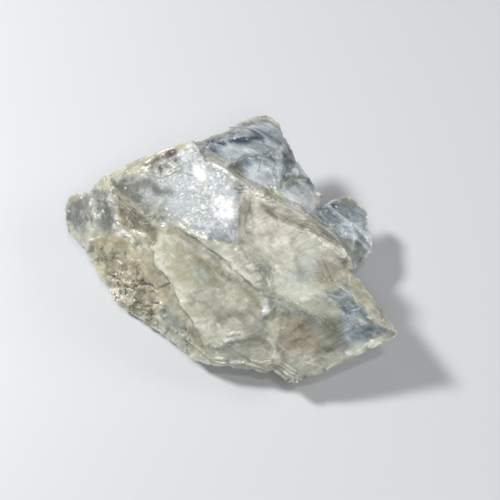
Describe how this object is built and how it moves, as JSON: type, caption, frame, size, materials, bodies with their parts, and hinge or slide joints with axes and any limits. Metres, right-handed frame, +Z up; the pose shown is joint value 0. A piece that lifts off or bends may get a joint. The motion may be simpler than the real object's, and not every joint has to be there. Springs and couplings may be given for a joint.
{
  "type": "petalite crystal",
  "caption": "Hand-sized cleavage fragment of pale, partly clear petalite with a shell-shaped hollow, stepped ridges and a crumbled side, lying on a flat break.",
  "frame": {"origin": "centre of the plan, on the surface that the crystal lies on", "axes": "+Z up, +X along the longest side, from the small clear lobe to the front slab's tip; +Y to the back, where the back slab points"},
  "size_m": [0.0646, 0.0538, 0.0235],
  "materials": {
    "petalite": "glossy break"
  },
  "bodies": {
    "root": {"petalite_crystal": "petalite"}
  },
  "joints": []
}
